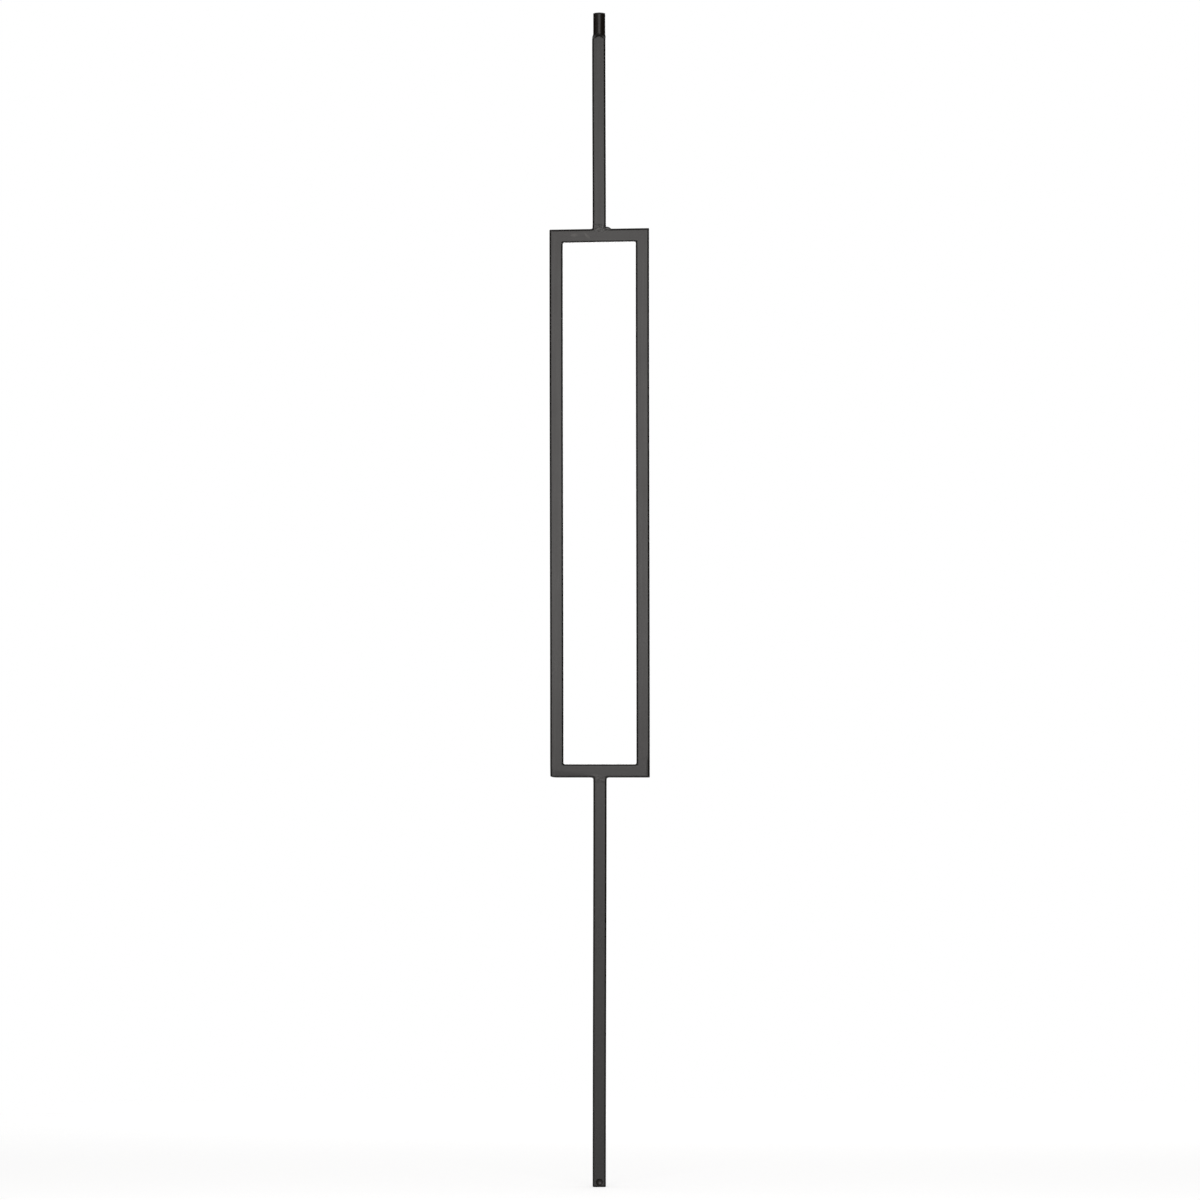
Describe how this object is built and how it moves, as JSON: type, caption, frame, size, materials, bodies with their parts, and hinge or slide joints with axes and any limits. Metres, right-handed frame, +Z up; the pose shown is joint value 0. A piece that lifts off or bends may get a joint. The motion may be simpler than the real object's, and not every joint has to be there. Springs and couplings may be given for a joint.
{
  "type": "iron stair baluster",
  "caption": "Upright square-bar stair baluster with a tall open rectangular frame part way up, a turned dowel on top and a plain square foot, welded and coated satin black.",
  "frame": {"origin": "centre of the sawn foot, at its underside", "axes": "+Z up along the bar from the foot to the dowel, X across the frame, -Y out of the front face that holds the blind hole"},
  "size_m": [0.0948, 0.0126, 1.1176],
  "materials": {
    "black_coat": "satin near-black baked powder coat over steel, with a faint orange-peel texture"
  },
  "bodies": {
    "root": {"upper_bar": "black_coat", "dowel_pin": "black_coat", "top_rail": "black_coat", "left_stile": "black_coat", "right_stile": "black_coat", "bottom_rail": "black_coat", "lower_bar": "black_coat", "upper_weld": "black_coat", "lower_weld": "black_coat", "top_left_weld": "black_coat", "top_right_weld": "black_coat", "bottom_left_weld": "black_coat", "bottom_right_weld": "black_coat"}
  },
  "joints": []
}
